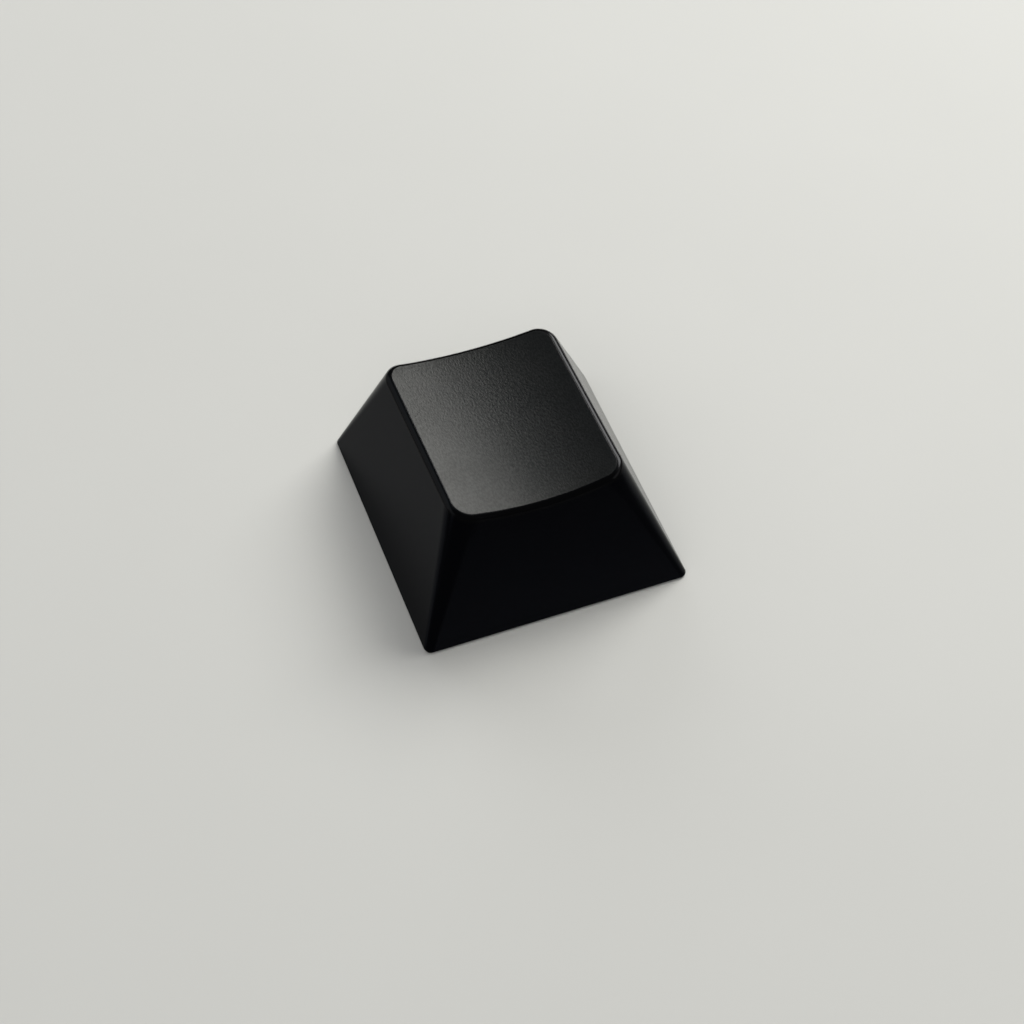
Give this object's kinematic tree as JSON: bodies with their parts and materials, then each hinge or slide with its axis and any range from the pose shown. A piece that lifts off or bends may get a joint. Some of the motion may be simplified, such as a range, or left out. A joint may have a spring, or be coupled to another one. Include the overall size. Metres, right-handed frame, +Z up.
{
  "type": "metal keycap",
  "caption": "Blank one-piece metal keycap with a tilted dished top, sloping walls and a hollow underside whose round stem has a cross-shaped socket for a keyboard switch.",
  "frame": {"origin": "middle of the base, in the plane of the bottom rim and on the stem's axis", "axes": "+X to the typist's right, +Y to the back of the keyboard, +Z up out of the dished top"},
  "size_m": [0.018, 0.0181, 0.0075],
  "materials": {
    "black_anodised": "satin"
  },
  "bodies": {
    "root": {"keycap": "black_anodised"}
  },
  "joints": []
}
